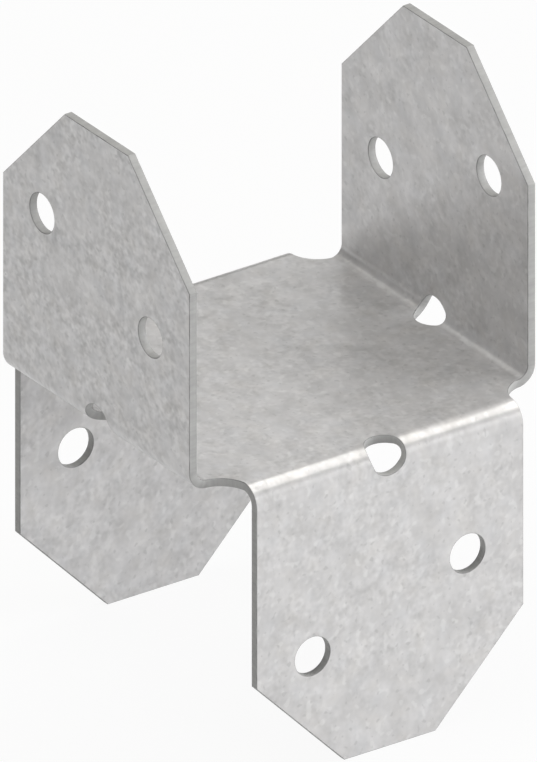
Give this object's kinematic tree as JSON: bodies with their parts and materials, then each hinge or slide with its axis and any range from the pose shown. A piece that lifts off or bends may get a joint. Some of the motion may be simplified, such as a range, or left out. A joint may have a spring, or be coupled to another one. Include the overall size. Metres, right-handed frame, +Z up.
{
  "type": "timber angle connector",
  "caption": "Folded galvanised sheet connector: a square seat plate with flanges turned up on one axis and down on the other, nailed to join crossing timbers.",
  "frame": {"origin": "centre of the seat plate, halfway through the sheet", "axes": "+Z up, square to the seat plate; +X along the upper timber; +Y along the lower timber"},
  "size_m": [0.0414, 0.0414, 0.065],
  "materials": {
    "galvanised_steel": "hot-dip galvanised, fine grey mottle"
  },
  "bodies": {
    "root": {"folded_connector": "galvanised_steel"}
  },
  "joints": []
}
